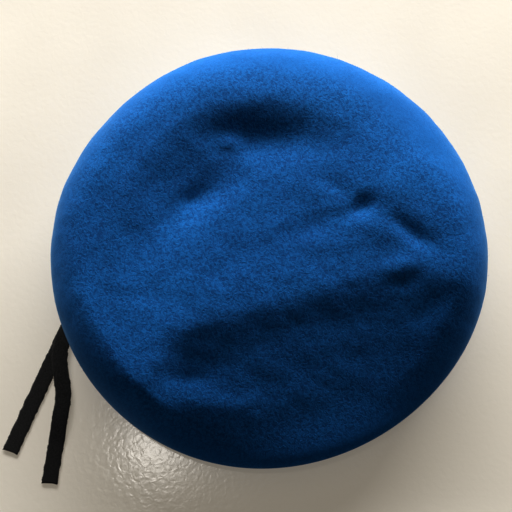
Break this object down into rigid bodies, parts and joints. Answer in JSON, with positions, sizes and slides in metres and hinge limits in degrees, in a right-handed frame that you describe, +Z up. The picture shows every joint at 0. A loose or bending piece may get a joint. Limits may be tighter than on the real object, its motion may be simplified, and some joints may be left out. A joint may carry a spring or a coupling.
{
  "type": "beret",
  "caption": "Military-pattern wool felt beret lying crown up, with a leather-bound headband and a flat draw tape whose two ends come out at the back.",
  "frame": {"origin": "centre of the head opening, in the plane that the headband rests on", "axes": "+Z up through the crown, -Y the wearer's front, +Y the back where the draw tape comes out, +X the wearer's left"},
  "size_m": [0.27, 0.3277, 0.0581],
  "materials": {
    "wool_felt": "milled wool felt with a short brushed nap",
    "binding_leather": "fine-grained black leather, satin",
    "black_thread": "twisted sewing thread",
    "woven_tape": "flat woven tape",
    "lining_satin": "satin lining",
    "stiffener_board": "buckram",
    "black_eyelet": "black enamel, semi-gloss",
    "label_cloth": "blank woven label"
  },
  "bodies": {
    "beret": {"felt_crown": "wool_felt", "headband_binding": "binding_leather", "binding_outer_thread": "black_thread", "binding_inner_thread": "black_thread", "binding_bar_tacks": "black_thread", "draw_tape_band": "woven_tape", "lining_top_panel": "lining_satin", "lining_side_panel": "lining_satin", "lining_seam_thread": "black_thread", "badge_stiffener": "stiffener_board", "stiffener_thread": "black_thread", "vent_eyelet_front": "black_eyelet", "vent_eyelet_rear": "black_eyelet", "vent_washer_front": "black_eyelet", "vent_washer_rear": "black_eyelet", "size_label": "label_cloth", "size_label_thread": "black_thread"},
    "tape_tail_left": {"draw_tape_tail_left": "woven_tape"},
    "tape_tail_right": {"draw_tape_tail_right": "woven_tape"}
  },
  "joints": [
    {"name": "draw_tape_left_pull", "type": "slide", "parent": "beret", "child": "tape_tail_left", "axis": [0, 1, 0], "range_m": [0, 0.01]},
    {"name": "draw_tape_right_pull", "type": "slide", "parent": "beret", "child": "tape_tail_right", "axis": [0, 1, 0], "range_m": [0, 0.01]}
  ]
}
